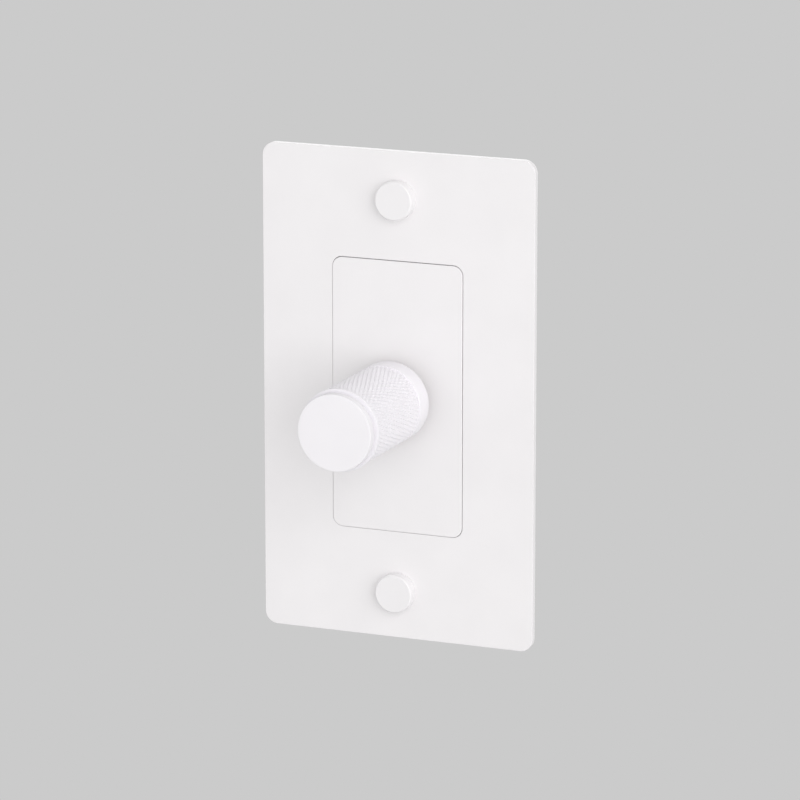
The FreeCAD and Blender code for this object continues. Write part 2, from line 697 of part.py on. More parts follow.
# ---- electronics ----------------------------------------------------------------------------------------
TRIAC_X = 12.0
TRIAC_HOLE_Z = 24.5
TRIAC_TOP_Z = 27.3
TRIAC_TAB_W = 10.0
TRIAC_TAB_T = 1.3
TRIAC_BODY_Z = 21.0
TRIAC_FOOT_Z = 12.0
TRIAC_BODY_T = 3.1
TRIAC_SCREW_R = 1.45
TRIAC_HOLE_R = 1.8
TRIAC_LEAD_PITCH = 2.54
TRIAC_LEAD_XS = (TRIAC_X - TRIAC_LEAD_PITCH, TRIAC_X, TRIAC_X + TRIAC_LEAD_PITCH)
TRIAC_LEAD_Z = 10.5
PAD_T = 0.3
TAB_FRONT = STRAP_BACK + PAD_T
TAB_BACK = TAB_FRONT + TRIAC_TAB_T
CHOKE_Z = -22.4
CHOKE_FRONT = 8.0
CHOKE_BACK = 16.4
CHOKE_OUT = 8.4
CHOKE_IN = 4.4
CHOKE_TURNS = 22
CHOKE_WIRE = 0.9
TERMINAL_BACK = 33.6
TERMINAL_FRONT = 23.4
TERMINAL_Y = 28.6
CAGE_BELOW = 4.2


def circuit_board():
    """The board, notched at its corners for the housing posts, with a hole for each lead."""
    corner_r = 0.8
    y0 = BOARD_FRONT - OVERRUN
    y1 = BOARD_BACK + OVERRUN
    board = slab(BOARD_W, BOARD_H, corner_r, BOARD_FRONT, BOARD_BACK)
    for x in (-1, 1):
        for z in (-1, 1):
            x0, x1 = sorted((x * (BOARD_W / 2 - BOARD_NOTCH), x * (BOARD_W / 2 + OVERRUN)))
            z0, z1 = sorted((z * (BOARD_H / 2 - BOARD_NOTCH), z * (BOARD_H / 2 + OVERRUN)))
            board = board.cut(block(x0, x1, y0, y1, z0, z1))
    pin_hole_r = 0.65
    lead_hole_r = 0.55
    for x in PIN_XS:
        board = board.cut(rod_y(pin_hole_r, y0, y1, x, PIN_Z))
    for x in TRIAC_LEAD_XS:
        board = board.cut(rod_y(lead_hole_r, y0, y1, x, TRIAC_LEAD_Z))
    for slot in contact_slots(y0, y1):
        board = board.cut(slot)
    return board


def triac_body():
    """The moulded body of the power switch."""
    half = TRIAC_TAB_W / 2
    back = TAB_BACK + TRIAC_BODY_T
    chamfer = 0.5
    body = block(TRIAC_X - half, TRIAC_X + half, TAB_BACK, back, TRIAC_FOOT_Z, TRIAC_BODY_Z)
    return body.makeChamfer(chamfer, front_edges(body, back))


def triac_tab():
    """The metal tab of the power switch, with its screw hole."""
    half = TRIAC_TAB_W / 2
    tab = block(TRIAC_X - half, TRIAC_X + half, TAB_FRONT, TAB_BACK, TRIAC_FOOT_Z, TRIAC_TOP_Z)
    return tab.cut(rod_y(TRIAC_HOLE_R, TAB_FRONT - OVERRUN, TAB_BACK + OVERRUN, TRIAC_X, TRIAC_HOLE_Z))


def triac_leads():
    """Three leads, down out of the body and back through the board."""
    lead_t = 0.6
    half = lead_t / 2
    shoulder = 0.4
    depth = 0.9
    y0 = TAB_BACK + depth
    z0 = TRIAC_LEAD_Z - half
    leads = []
    for x in TRIAC_LEAD_XS:
        drop = block(x - shoulder, x + shoulder, y0, y0 + lead_t, z0, TRIAC_FOOT_Z)
        run = block(x - half, x + half, y0, LEAD_END, z0, z0 + lead_t)
        leads.append(drop.fuse(run))
    return Part.makeCompound(leads)


def triac_pad():
    """The thin insulating pad between the tab and the strap."""
    margin = 0.4
    half = TRIAC_TAB_W / 2 + margin
    pad = block(TRIAC_X - half, TRIAC_X + half, STRAP_BACK, TAB_FRONT,
                TRIAC_FOOT_Z - margin, TRIAC_TOP_Z + margin)
    return pad.cut(rod_y(TRIAC_HOLE_R, STRAP_BACK - OVERRUN, TAB_FRONT + OVERRUN, TRIAC_X, TRIAC_HOLE_Z))


def triac_screw():
    """The screw that holds the tab to the strap."""
    head_r = 2.6
    head_t = 2.0
    slot_depth = 1.0
    slot_reach = 1.6
    head_end = TAB_BACK + head_t
    screw = rod_y(head_r, TAB_BACK, head_end, TRIAC_X, TRIAC_HOLE_Z)
    screw = screw.fuse(rod_y(TRIAC_SCREW_R, STRAP_FRONT, TAB_BACK, TRIAC_X, TRIAC_HOLE_Z))
    return screw.cut(cross_slot(head_end, -slot_depth, TRIAC_X, TRIAC_HOLE_Z, slot_reach))


def choke_core():
    """The ferrite ring."""
    rim_r = 0.6
    core = ring_y(CHOKE_OUT, CHOKE_IN, CHOKE_FRONT, CHOKE_BACK, z=CHOKE_Z)
    rims = front_edges(core, CHOKE_FRONT) + front_edges(core, CHOKE_BACK)
    return core.makeFillet(rim_r, rims)


def choke_winding():
    """Copper turns round the ring, one closed loop each."""
    gap = 0.05
    wound_angle = 320.0
    first_angle = 110.0
    y0 = CHOKE_FRONT - gap
    y1 = CHOKE_BACK + gap
    half = CHOKE_WIRE / 2
    outer = block(CHOKE_IN - gap - CHOKE_WIRE, CHOKE_OUT + gap + CHOKE_WIRE,
                  y0 - CHOKE_WIRE, y1 + CHOKE_WIRE, -half, half)
    inner = block(CHOKE_IN - gap, CHOKE_OUT + gap, y0, y1, -CHOKE_WIRE, CHOKE_WIRE)
    turn = outer.cut(inner)
    turns = []
    for index in range(CHOKE_TURNS):
        loop = turn.copy()
        loop.rotate(FreeCAD.Vector(0, 0, 0), Y_AXIS, first_angle + wound_angle * index / (CHOKE_TURNS - 1))
        turns.append(loop.translated(FreeCAD.Vector(0, 0, CHOKE_Z)))
    return Part.makeCompound(turns)


def soft_box(x0, x1, z0, z1, height, edge_r):
    """A box with rounded edges that stands on the back of the board."""
    box = block(x0, x1, BOARD_BACK, BOARD_BACK + height, z0, z1)
    return box.makeFillet(edge_r, box.Edges)


def film_capacitor():
    """The box capacitor behind the board."""
    return soft_box(x0=-16.0, x1=2.0, z0=12.5, z1=21.0, height=10.5, edge_r=0.6)


def timing_capacitor():
    """The small box capacitor behind the board."""
    return soft_box(x0=6.0, x1=13.2, z0=13.5, z1=16.5, height=6.5, edge_r=0.3)


def axial_part(radius, length, x, z, waist):
    """A round part that lies along X on two bent leads that stand on the back of the board."""
    lead_r = 0.3
    lead_run = 1.3
    swell = 0.2
    swell_length = 1.2
    y = BOARD_BACK + radius + lead_r
    half = length / 2
    body = rod_x(radius, x - half, x + half, y, z)
    if waist:
        body = body.fuse(rod_x(radius + swell, x - half, x - half + swell_length, y, z))
        body = body.fuse(rod_x(radius + swell, x + half - swell_length, x + half, y, z))
    for side in (-1, 1):
        tip = x + side * (half + lead_run)
        x0, x1 = sorted((x + side * (half - ROOT), tip))
        body = body.fuse(rod_x(lead_r, x0, x1, y, z))
        body = body.fuse(rod_y(lead_r, BOARD_BACK, y, tip, z))
    return body


def resistors():
    """Three resistors on the back of the board."""
    heights = (6.0, 1.5, -3.0)
    return Part.makeCompound([axial_part(radius=1.1, length=6.2, x=9.5, z=z, waist=True) for z in heights])


def diac():
    """The glass trigger diode."""
    return axial_part(radius=0.9, length=3.6, x=-11.0, z=4.5, waist=False)


def fuse():
    """The safety fuse, in a ceramic tube."""
    return axial_part(radius=1.5, length=8.0, x=-8.5, z=-3.5, waist=False)


def terminal_cages():
    """Three brass cages, each with a wire hole from behind and a tapped hole from below."""
    half_w = 3.7
    above = 3.4
    edge_r = 0.4
    end_wall = 1.4
    foot_half = 0.6
    cages = []
    for x in TERMINAL_XS:
        cage = block(x - half_w, x + half_w, TERMINAL_FRONT, TERMINAL_BACK,
                     TERMINAL_Z - CAGE_BELOW, TERMINAL_Z + above)
        cage = cage.makeFillet(edge_r, cage.Edges)
        cage = cage.cut(rod_y(WIRE_HOLE_R, TERMINAL_FRONT + end_wall, TERMINAL_BACK + OVERRUN, x, TERMINAL_Z))
        cage = cage.cut(rod_z(CLAMP_SCREW_R + THREAD_GAP, TERMINAL_Z - CAGE_BELOW - OVERRUN, TERMINAL_Z,
                              x, TERMINAL_Y))
        foot = block(x - foot_half, x + foot_half, BOARD_BACK, TERMINAL_FRONT + ROOT,
                     TERMINAL_Z - foot_half, TERMINAL_Z + foot_half)
        cages.append(cage.fuse(foot))
    return Part.makeCompound(cages)


def terminal_screws():
    """The slotted clamping screws, driven from below the housing."""
    head_r = 2.4
    head_t = 2.0
    slot_half = 0.4
    slot_depth = 0.9
    backed_out = 0.9
    head_z = TERMINAL_Z - CAGE_BELOW - head_t - backed_out
    shank_z = head_z + head_t
    tip_z = TERMINAL_Z - WIRE_HOLE_R - HOLE_GAP
    screws = []
    for x in TERMINAL_XS:
        screw = rod_z(head_r, head_z, shank_z, x, TERMINAL_Y)
        screw = screw.fuse(rod_z(CLAMP_SCREW_R, shank_z, tip_z, x, TERMINAL_Y))
        slot = block(x - head_r, x + head_r, TERMINAL_Y - slot_half, TERMINAL_Y + slot_half,
                     head_z - OVERRUN, head_z + slot_depth)
        screws.append(screw.cut(slot))
    return Part.makeCompound(screws)


# ---- write every node ----------------------------------------------------------------------------------
def nodes():
    """Every node of the object by name."""
    return {
        "wall_plate": wall_plate(),
        "plate_screws": mirrored_pair(plate_screw, PLATE_SCREW_Z),
        "insert_panel": insert_panel(),
        "insert_screws": mirrored_pair(insert_screw, PANEL_SCREW_Z),
        "knob_body": knob_body(),
        "knob_cap": knob_cap(),
        "knob_hub": knob_hub(),
        "knob_grub_screw": knob_grub_screw(),
        "control_shaft": control_shaft(),
        "shaft_clip": shaft_clip(),
        "bushing": bushing(),
        "bushing_washer": bushing_washer(),
        "bushing_nut": bushing_nut(),
        "pot_case": pot_case(),
        "pot_wafer": pot_wafer(),
        "pot_track": pot_track(),
        "pot_pins": pot_pins(),
        "pot_rotor": pot_rotor(),
        "pot_wiper": pot_wiper(),
        "switch_case": switch_case(),
        "switch_plunger": switch_plunger(),
        "switch_spring": switch_spring(),
        "switch_lever": switch_lever(),
        "switch_contacts": switch_contacts(),
        "mounting_strap": mounting_strap(),
        "rear_housing": rear_housing(),
        "housing_screws": housing_screws(),
        "ground_screw": ground_screw(),
        "circuit_board": circuit_board(),
        "triac_body": triac_body(),
        "triac_tab": triac_tab(),
        "triac_leads": triac_leads(),
        "triac_pad": triac_pad(),
        "triac_screw": triac_screw(),
        "choke_core": choke_core(),
        "choke_winding": choke_winding(),
        "film_capacitor": film_capacitor(),
        "timing_capacitor": timing_capacitor(),
        "resistors": resistors(),
        "diac": diac(),
        "fuse": fuse(),
        "terminal_cages": terminal_cages(),
        "terminal_screws": terminal_screws(),
    }


def main():
    os.makedirs(PARTS, exist_ok=True)
    for name, shape in nodes().items():
        if not shape.isValid():
            print("not valid:", name)
        shape.exportStep(os.path.join(PARTS, name + ".step"))
        box = shape.BoundBox
        print(f"{name:18s} solids {len(shape.Solids):2d}  volume {shape.Volume:9.1f}"
              f"  y {box.YMin:6.1f} {box.YMax:6.1f}  z {box.ZMin:6.1f} {box.ZMax:6.1f}")


main()
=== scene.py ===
"""Looks of the rotary push dimmer: materials, the knurled knob, threads and windings, light and camera.

Metres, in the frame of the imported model: X right, Z up, the front faces -Y.
"""

import json
import math

import bpy
import numpy as np
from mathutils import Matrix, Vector

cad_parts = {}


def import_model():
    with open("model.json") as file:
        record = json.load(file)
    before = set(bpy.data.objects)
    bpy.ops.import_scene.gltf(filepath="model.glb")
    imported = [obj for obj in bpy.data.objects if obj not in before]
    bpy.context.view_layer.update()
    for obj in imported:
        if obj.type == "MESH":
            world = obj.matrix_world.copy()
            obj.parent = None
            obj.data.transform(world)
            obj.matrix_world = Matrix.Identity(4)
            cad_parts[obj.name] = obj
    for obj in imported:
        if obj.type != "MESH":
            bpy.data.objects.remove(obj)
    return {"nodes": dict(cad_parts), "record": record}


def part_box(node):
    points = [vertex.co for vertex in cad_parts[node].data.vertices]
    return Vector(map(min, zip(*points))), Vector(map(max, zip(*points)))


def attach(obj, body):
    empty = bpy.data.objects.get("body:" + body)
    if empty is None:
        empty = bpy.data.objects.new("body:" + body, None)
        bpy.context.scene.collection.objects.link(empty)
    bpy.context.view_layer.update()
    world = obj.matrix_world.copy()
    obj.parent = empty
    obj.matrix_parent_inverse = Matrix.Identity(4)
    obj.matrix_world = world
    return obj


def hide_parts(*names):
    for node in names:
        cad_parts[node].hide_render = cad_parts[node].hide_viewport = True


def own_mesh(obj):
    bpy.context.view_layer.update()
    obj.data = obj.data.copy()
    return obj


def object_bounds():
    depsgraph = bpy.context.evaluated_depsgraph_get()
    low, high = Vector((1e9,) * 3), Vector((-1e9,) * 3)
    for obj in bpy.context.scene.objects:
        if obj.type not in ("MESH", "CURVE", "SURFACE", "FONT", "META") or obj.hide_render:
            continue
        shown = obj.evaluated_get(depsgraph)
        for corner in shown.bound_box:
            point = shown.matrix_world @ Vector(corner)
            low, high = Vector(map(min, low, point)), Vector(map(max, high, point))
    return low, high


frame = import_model()
cad_low, cad_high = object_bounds()

MM = 0.001
TAU = 2 * math.pi
NODES = frame["nodes"]
PLATE_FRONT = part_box("wall_plate")[0].y


# ---- material nodes ---------------------------------------------------------------------------
class Look:
    """One material: a principled shader and short ways to drive its sockets with patterns."""

    def __init__(self, name, metallic=0.0, roughness=0.5, coat=0.0):
        self.material = bpy.data.materials.new(name)
        self.material.use_nodes = True
        self.tree = self.material.node_tree
        self.shader = self.tree.nodes["Principled BSDF"]
        self.shader.inputs["Metallic"].default_value = metallic
        self.shader.inputs["Roughness"].default_value = roughness
        self.shader.inputs["Coat Weight"].default_value = coat
        self.height = None
        coordinates = self.tree.nodes.new("ShaderNodeTexCoord")
        self.place = coordinates.outputs["Object"]

    def node(self, kind, **values):
        made = self.tree.nodes.new(kind)
        for key, value in values.items():
            setattr(made, key, value)
        return made

    def join(self, source, target):
        self.tree.links.new(source, target)

    def stretched(self, scale):
        """The object coordinates, stretched by a factor along each axis."""
        mapping = self.node("ShaderNodeMapping")
        mapping.inputs["Scale"].default_value = scale
        self.join(self.place, mapping.inputs["Vector"])
        return mapping.outputs["Vector"]

    def noise(self, size_mm, detail=2.0, stretch=None):
        """Noise whose blotches are about size_mm across."""
        made = self.node("ShaderNodeTexNoise")
        made.inputs["Scale"].default_value = 1 / (size_mm * MM)
        made.inputs["Detail"].default_value = detail
        self.join(self.stretched(stretch) if stretch else self.place, made.inputs["Vector"])
        return made.outputs["Fac"]

    def spread(self, value, low, high, start=0.3, end=0.7):
        """Maps a pattern onto low to high."""
        made = self.node("ShaderNodeMapRange")
        made.inputs["From Min"].default_value = start
        made.inputs["From Max"].default_value = end
        made.inputs["To Min"].default_value = low
        made.inputs["To Max"].default_value = high
        self.join(value, made.inputs["Value"])
        return made.outputs["Result"]

    def blend(self, value, colour_a, colour_b, start=0.3, end=0.7):
        """A colour that goes from a to b as a pattern rises."""
        made = self.node("ShaderNodeMix", data_type="RGBA")
        self.join(self.spread(value, 0.0, 1.0, start, end), made.inputs["Factor"])
        for socket, colour in (("A", colour_a), ("B", colour_b)):
            target = [s for s in made.inputs if s.name == socket and s.type == "RGBA"][0]
            if isinstance(colour, bpy.types.NodeSocket):
                self.join(colour, target)
            else:
                target.default_value = (*colour, 1.0)
        return [s for s in made.outputs if s.type == "RGBA"][0]

    def colour(self, socket):
        self.join(socket, self.shader.inputs["Base Color"])
        return self

    def rough(self, socket):
        self.join(socket, self.shader.inputs["Roughness"])
        return self

    def bump(self, value, depth_mm):
        """Adds relief of about depth_mm from a pattern."""
        made = self.node("ShaderNodeBump")
        made.inputs["Strength"].default_value = 1.0
        made.inputs["Distance"].default_value = depth_mm * MM
        self.join(value, made.inputs["Height"])
        if self.height is not None:
            self.join(self.height, made.inputs["Normal"])
        self.height = made.outputs["Normal"]
        self.join(self.height, self.shader.inputs["Normal"])
        return self


def shade(colour, factor):
    """A colour made darker or lighter."""
    return tuple(min(1.0, c * factor) for c in colour)


def powder_coat(name, colour, roughness=0.46):
    """Baked powder paint: a fine orange peel, almost even in colour."""
    look = Look(name, roughness=roughness)
    drift = 0.012
    look.colour(look.blend(look.noise(size_mm=14), shade(colour, 1 - drift), shade(colour, 1 + drift)))
    look.rough(look.spread(look.noise(size_mm=3, detail=3), low=roughness - 0.04, high=roughness + 0.05))
    look.bump(look.noise(size_mm=1.1), depth_mm=0.012)
    look.bump(look.noise(size_mm=0.22), depth_mm=0.004)
    return look.material


def plated_metal(name, colour, roughness=0.3, grain=(1, 1, 8), grain_mm=0.6):
    """Plated or ground metal: drawn grain along one axis, with a faint blotchy bloom."""
    look = Look(name, metallic=1.0, roughness=roughness)
    dull = shade(colour, 0.86)
    bright = shade(colour, 1.06)
    look.colour(look.blend(look.noise(size_mm=5, detail=3), dull, bright))
    streaks = look.noise(grain_mm, detail=4, stretch=grain)
    look.rough(look.spread(streaks, low=roughness - 0.09, high=roughness + 0.12))
    look.bump(streaks, depth_mm=0.006)
    return look.material


def moulded_plastic(name, colour, roughness=0.5, grain_mm=0.25, grain_depth=0.012):
    """Moulded plastic: spark-eroded grain and slow changes in tone."""
    look = Look(name, roughness=roughness)
    dark = shade(colour, 0.94)
    pale = shade(colour, 1.07)
    look.colour(look.blend(look.noise(size_mm=9, detail=3), dark, pale))
    look.rough(look.spread(look.noise(size_mm=2.5, detail=3), low=roughness - 0.07, high=roughness + 0.08))
    look.bump(look.noise(grain_mm, detail=3), grain_depth)
    return look.material


def gloss_resin(name, colour, roughness=0.22):
    """Smooth cast or dipped resin with a clear skin."""
    look = Look(name, roughness=roughness, coat=0.4)
    dark = shade(colour, 0.85)
    pale = shade(colour, 1.1)
    look.colour(look.blend(look.noise(size_mm=3, detail=3), dark, pale))
    look.rough(look.spread(look.noise(size_mm=1.2), low=roughness - 0.06, high=roughness + 0.1))
    look.bump(look.noise(size_mm=1.6), depth_mm=0.015)
    return look.material


def board_mask(name):
    """Green solder mask over copper tracks, with a woven glass texture."""
    look = Look(name, roughness=0.35, coat=0.3)
    track_pitch_mm = 5.5
    track_inner = 0.06
    track_outer = 0.09
    over_copper = (0.10, 0.42, 0.16)
    over_glass = (0.03, 0.20, 0.075)
    tracks = look.node("ShaderNodeTexVoronoi", feature="DISTANCE_TO_EDGE")
    tracks.inputs["Scale"].default_value = 1 / (track_pitch_mm * MM)
    look.join(look.place, tracks.inputs["Vector"])
    away = tracks.outputs["Distance"]
    look.colour(look.blend(away, over_copper, over_glass, track_inner, track_outer))
    look.bump(look.noise(size_mm=0.5, detail=1, stretch=(1, 1, 3)), depth_mm=0.008)
    look.bump(look.spread(away, 1.0, 0.0, track_inner, track_outer), depth_mm=0.03)
    return look.material


def banded_resistor(name):
    """Tan lacquer with colour bands round the body, across X."""
    look = Look(name, roughness=0.3, coat=0.4)
    colour = (0.62, 0.48, 0.30)
    band_half = 0.22 * MM
    band_fade = 0.04 * MM
    low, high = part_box("resistors")
    centre = (low.x + high.x) / 2
    brown = (0.35, 0.10, 0.04)
    black = (0.02, 0.02, 0.02)
    orange = (0.75, 0.25, 0.02)
    gold = (0.70, 0.50, 0.12)
    split = look.node("ShaderNodeSeparateXYZ")
    look.join(look.place, split.inputs["Vector"])
    for offset, band in ((-1.5, brown), (-0.5, black), (0.5, orange), (1.7, gold)):
        away = look.node("ShaderNodeMath", operation="SUBTRACT")
        look.join(split.outputs["X"], away.inputs[0])
        away.inputs[1].default_value = centre + offset * MM
        size = look.node("ShaderNodeMath", operation="ABSOLUTE")
        look.join(away.outputs[0], size.inputs[0])
        colour = look.blend(size.outputs[0], band, colour, band_half, band_half + band_fade)
    look.colour(colour)
    look.bump(look.noise(size_mm=0.8), depth_mm=0.01)
    return look.material


WHITE = (0.889, 0.871, 0.879)
SCREW_WHITE = (0.882, 0.866, 0.875)
COOL_WHITE = (0.908, 0.888, 0.914)
KNOB_WHITE = (0.910, 0.889, 0.921)
STEEL = (0.62, 0.62, 0.60)
BRASS = (0.78, 0.58, 0.27)


def materials():
    """Every material by the slot it gives its finish to."""
    return {
        "plate_paint": powder_coat("plate_paint", WHITE),
        "panel_paint": powder_coat("panel_paint", WHITE),
        "screw_paint": powder_coat("screw_paint", SCREW_WHITE, 0.42),
        "knob_paint": powder_coat("knob_paint", KNOB_WHITE, 0.44),
        "cap_paint": powder_coat("cap_paint", COOL_WHITE, 0.44),
        "hub_nylon": moulded_plastic("hub_nylon", (0.72, 0.70, 0.64)),
        "black_steel": plated_metal("black_steel", (0.06, 0.06, 0.065), 0.42),
        "shaft_steel": plated_metal("shaft_steel", STEEL, 0.28, (1, 0.15, 1)),
        "spring_steel": plated_metal("spring_steel", (0.52, 0.52, 0.53), 0.3),
        "bushing_brass": plated_metal("bushing_brass", BRASS, 0.28),
        "nut_nickel": plated_metal("nut_nickel", (0.66, 0.63, 0.58), 0.25, (1, 8, 1)),
        "pot_case_plastic": moulded_plastic("pot_case_plastic", (0.045, 0.045, 0.05)),
        "wafer_phenolic": moulded_plastic("wafer_phenolic", (0.30, 0.14, 0.05), 0.45, 0.9, 0.02),
        "carbon": moulded_plastic("carbon", (0.025, 0.025, 0.025), 0.6),
        "tinned_pins": plated_metal("tinned_pins", (0.70, 0.70, 0.69), 0.3),
        "rotor_plastic": moulded_plastic("rotor_plastic", (0.76, 0.76, 0.73), 0.4),
        "spring_bronze": plated_metal("spring_bronze", (0.72, 0.46, 0.22), 0.3),
        "switch_plastic": moulded_plastic("switch_plastic", (0.06, 0.06, 0.065), 0.45),
        "plunger_nylon": moulded_plastic("plunger_nylon", (0.70, 0.20, 0.06), 0.4),
        "strap_steel": plated_metal("strap_steel", STEEL, 0.34, (1, 1, 6)),
        "housing_plastic": moulded_plastic("housing_plastic", (0.035, 0.035, 0.038), 0.52, 0.35, 0.02),
        "zinc_steel": plated_metal("zinc_steel", (0.66, 0.66, 0.64), 0.3),
        "green_steel": plated_metal("green_steel", (0.06, 0.42, 0.16), 0.34),
        "board_laminate": board_mask("board_laminate"),
        "epoxy_black": moulded_plastic("epoxy_black", (0.03, 0.03, 0.032), 0.42),
        "tinned_tab": plated_metal("tinned_tab", (0.64, 0.64, 0.64), 0.32),
        "pad_silicone": moulded_plastic("pad_silicone", (0.40, 0.43, 0.46), 0.65),
        "ferrite": moulded_plastic("ferrite", (0.07, 0.07, 0.08), 0.4, 0.6, 0.02),
        "copper_enamel": gloss_resin("copper_enamel", (0.66, 0.24, 0.07), 0.2),
        "film_cap_box": gloss_resin("film_cap_box", (0.72, 0.48, 0.05)),
        "timing_cap_box": gloss_resin("timing_cap_box", (0.45, 0.06, 0.04)),
        "resistor_body": banded_resistor("resistor_body"),
        "diode_glass": gloss_resin("diode_glass", (0.60, 0.18, 0.06), 0.12),
        "fuse_ceramic": gloss_resin("fuse_ceramic", (0.76, 0.75, 0.70), 0.3),
        "terminal_brass": plated_metal("terminal_brass", BRASS, 0.3, (1, 6, 1)),
    }


LOOKS = materials()


def dress_cad_nodes():
    """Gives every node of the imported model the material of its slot."""
    for subpart in frame["record"]["subparts"]:
        node = NODES[subpart["node"]]
        node.data.materials.clear()
        node.data.materials.append(LOOKS[subpart["material_slot"]])


# ---- meshes turned about an axis parallel to Y ---------------------------------------------------
def new_piece(name, vertices, faces, slot, body, replaced, sharp_degrees=35):
    """A mesh object that rides on a body, wears a slot's material and stands for CAD nodes."""
    mesh = bpy.data.meshes.new(name)
    mesh.from_pydata(vertices, [], faces)
    mesh.validate()
    mesh.polygons.foreach_set("use_smooth", [True] * len(mesh.polygons))
    mesh.set_sharp_from_angle(angle=math.radians(sharp_degrees))
    piece = bpy.data.objects.new(name, mesh)
    bpy.context.scene.collection.objects.link(piece)
    mesh.materials.append(LOOKS[slot])
    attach(piece, body)
    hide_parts(*replaced)
    return piece


def turned(rows, columns, relief=None, z=0.0, ring=False):
    """Vertices and faces of a turned form.

    rows are (y, radius, weight) in metres; relief(column, row) gives the depth cut in at weight 1.
    A ring joins its last row to its first; otherwise the ends close on the axis.
    """
    vertices = []
    for j, (y, radius, weight) in enumerate(rows):
        for i in range(columns):
            depth = weight * relief(i, j) if relief and weight else 0.0
            angle = TAU * i / columns
            reach = radius - depth
            vertices.append((reach * math.cos(angle), y, z + reach * math.sin(angle)))
    faces = []
    spans = len(rows) if ring else len(rows) - 1
    for j in range(spans):
        a = j * columns
        b = ((j + 1) % len(rows)) * columns
        for i in range(columns):
            k = (i + 1) % columns
            faces.append((a + i, b + i, b + k, a + k))
    if not ring:
        for end, flip in ((0, False), (len(rows) - 1, True)):
            centre = len(vertices)
            vertices.append((0.0, rows[end][0], z))
            start = end * columns
            for i in range(columns):
                k = (i + 1) % columns
                corner = (centre, start + k, start + i) if flip else (centre, start + i, start + k)
                faces.append(corner)
    return vertices, faces


def arc_rows(y, radius, bevel, start, end, steps=4):
    """Rows round a small quarter arc whose centre is at (y, radius)."""
    rows = []
    for step in range(steps + 1):
        angle = math.radians(start + (end - start) * step / steps)
        rows.append((y + bevel * math.sin(angle), radius + bevel * math.cos(angle), 0.0))
    return rows


# ---- the knob ------------------------------------------------------------------------------------
KNURL_STARTS = 58
KNURL_STEPS = 8
KNURL_ANGLE = math.radians(20)
KNURL_DEPTH = 0.32 * MM
KNURL_FLAT = 0.12
KNURL_ROUND = 0.4
KNOB_COLUMNS = KNURL_STARTS * KNURL_STEPS
DISC_COLUMNS = 192
FACE_RINGS = (0.5, 0.9)


def triangle_wave(steps):
    """0 on a crest and 1 at the bottom of a groove, from a whole number of lattice steps."""
    turn = (steps % KNURL_STEPS) / KNURL_STEPS
    return 2 * min(turn, 1 - turn)


def knurl_depth(i, j):
    """The depth of the cross knurl at a lattice point, where two families of grooves cross."""
    groove = max(triangle_wave(i + j), triangle_wave(i - j))
    slope = max(0.0, (groove - KNURL_FLAT) / (1 - KNURL_FLAT))
    rounded = slope * slope * (3 - 2 * slope)
    return KNURL_DEPTH * (KNURL_ROUND * rounded + (1 - KNURL_ROUND) * slope)


def knob_body():
    """The whole turned knob, with a true cross knurl between its base and its lip."""
    low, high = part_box("knob_body")
    front, back = low.y, high.y
    lip_r = high.x
    lip_step = 0.15 * MM
    body_r = lip_r - lip_step
    relief_depth = 0.35 * MM
    relief_r = body_r - relief_depth
    lip_t = 0.95 * MM
    relief_w = 0.4 * MM
    base_length = 5.5 * MM
    bevel = 0.12 * MM
    soft = 0.3 * MM
    hub_r = 5.45 * MM
    nest_r = 7.0 * MM
    nest_depth = 1.0 * MM
    cap_r = 3.0 * MM
    cap_depth = 6.1 * MM
    hub_depth = 22.6 * MM

    rows = [(front + cap_depth, cap_r, 0), (front, cap_r, 0)]
    rows += arc_rows(front + bevel, lip_r - bevel, bevel, -90, 0)
    rows += arc_rows(front + lip_t - bevel, lip_r - bevel, bevel, 0, 90)
    rows += [(front + lip_t, relief_r, 0), (front + lip_t + relief_w, relief_r, 0)]

    knurl_start = front + lip_t + relief_w
    knurl_end = back - base_length - relief_w
    lead = TAU * body_r / KNURL_STARTS / math.tan(KNURL_ANGLE)
    knurl_length = knurl_end - knurl_start - 2 * bevel
    count = round(knurl_length / lead * KNURL_STEPS)
    step = knurl_length / count
    rows += [(knurl_start + bevel + step * n, body_r, 1.0) for n in range(count + 1)]

    rows += [(knurl_end, relief_r, 0), (back - base_length, relief_r, 0)]
    rows += arc_rows(back - base_length + bevel, body_r - bevel, bevel, -90, 0)
    rows += arc_rows(back - soft, body_r - soft, soft, 0, 90, steps=5)
    rows += [(back, nest_r, 0), (back - nest_depth, nest_r, 0), (back - nest_depth, hub_r, 0),
             (back - hub_depth, hub_r, 0)]

    vertices, faces = turned(rows, KNOB_COLUMNS, knurl_depth)
    faces = split_along_grooves(faces, rows)
    piece = new_piece("knurled_knob", vertices, faces, "knob_paint", "knob", ["knob_body"])
    cut_grub_hole(piece)


def split_along_grooves(faces, rows):
    """Cuts the four-sided faces of the knurl in two along whichever groove they belong to."""
    split = []
    for index, face in enumerate(faces):
        j, i = divmod(index, KNOB_COLUMNS)
        knurled = len(face) == 4 and j + 1 < len(rows) and rows[j][2] and rows[j + 1][2]
        if not knurled:
            split.append(face)
            continue
        a, b, c, d = face
        groove_up = triangle_wave(i + j + 1)
        groove_down = triangle_wave(i - j)
        if groove_up >= groove_down:
            split += [(a, b, d), (b, c, d)]
        else:
            split += [(a, b, c), (a, c, d)]
    return split


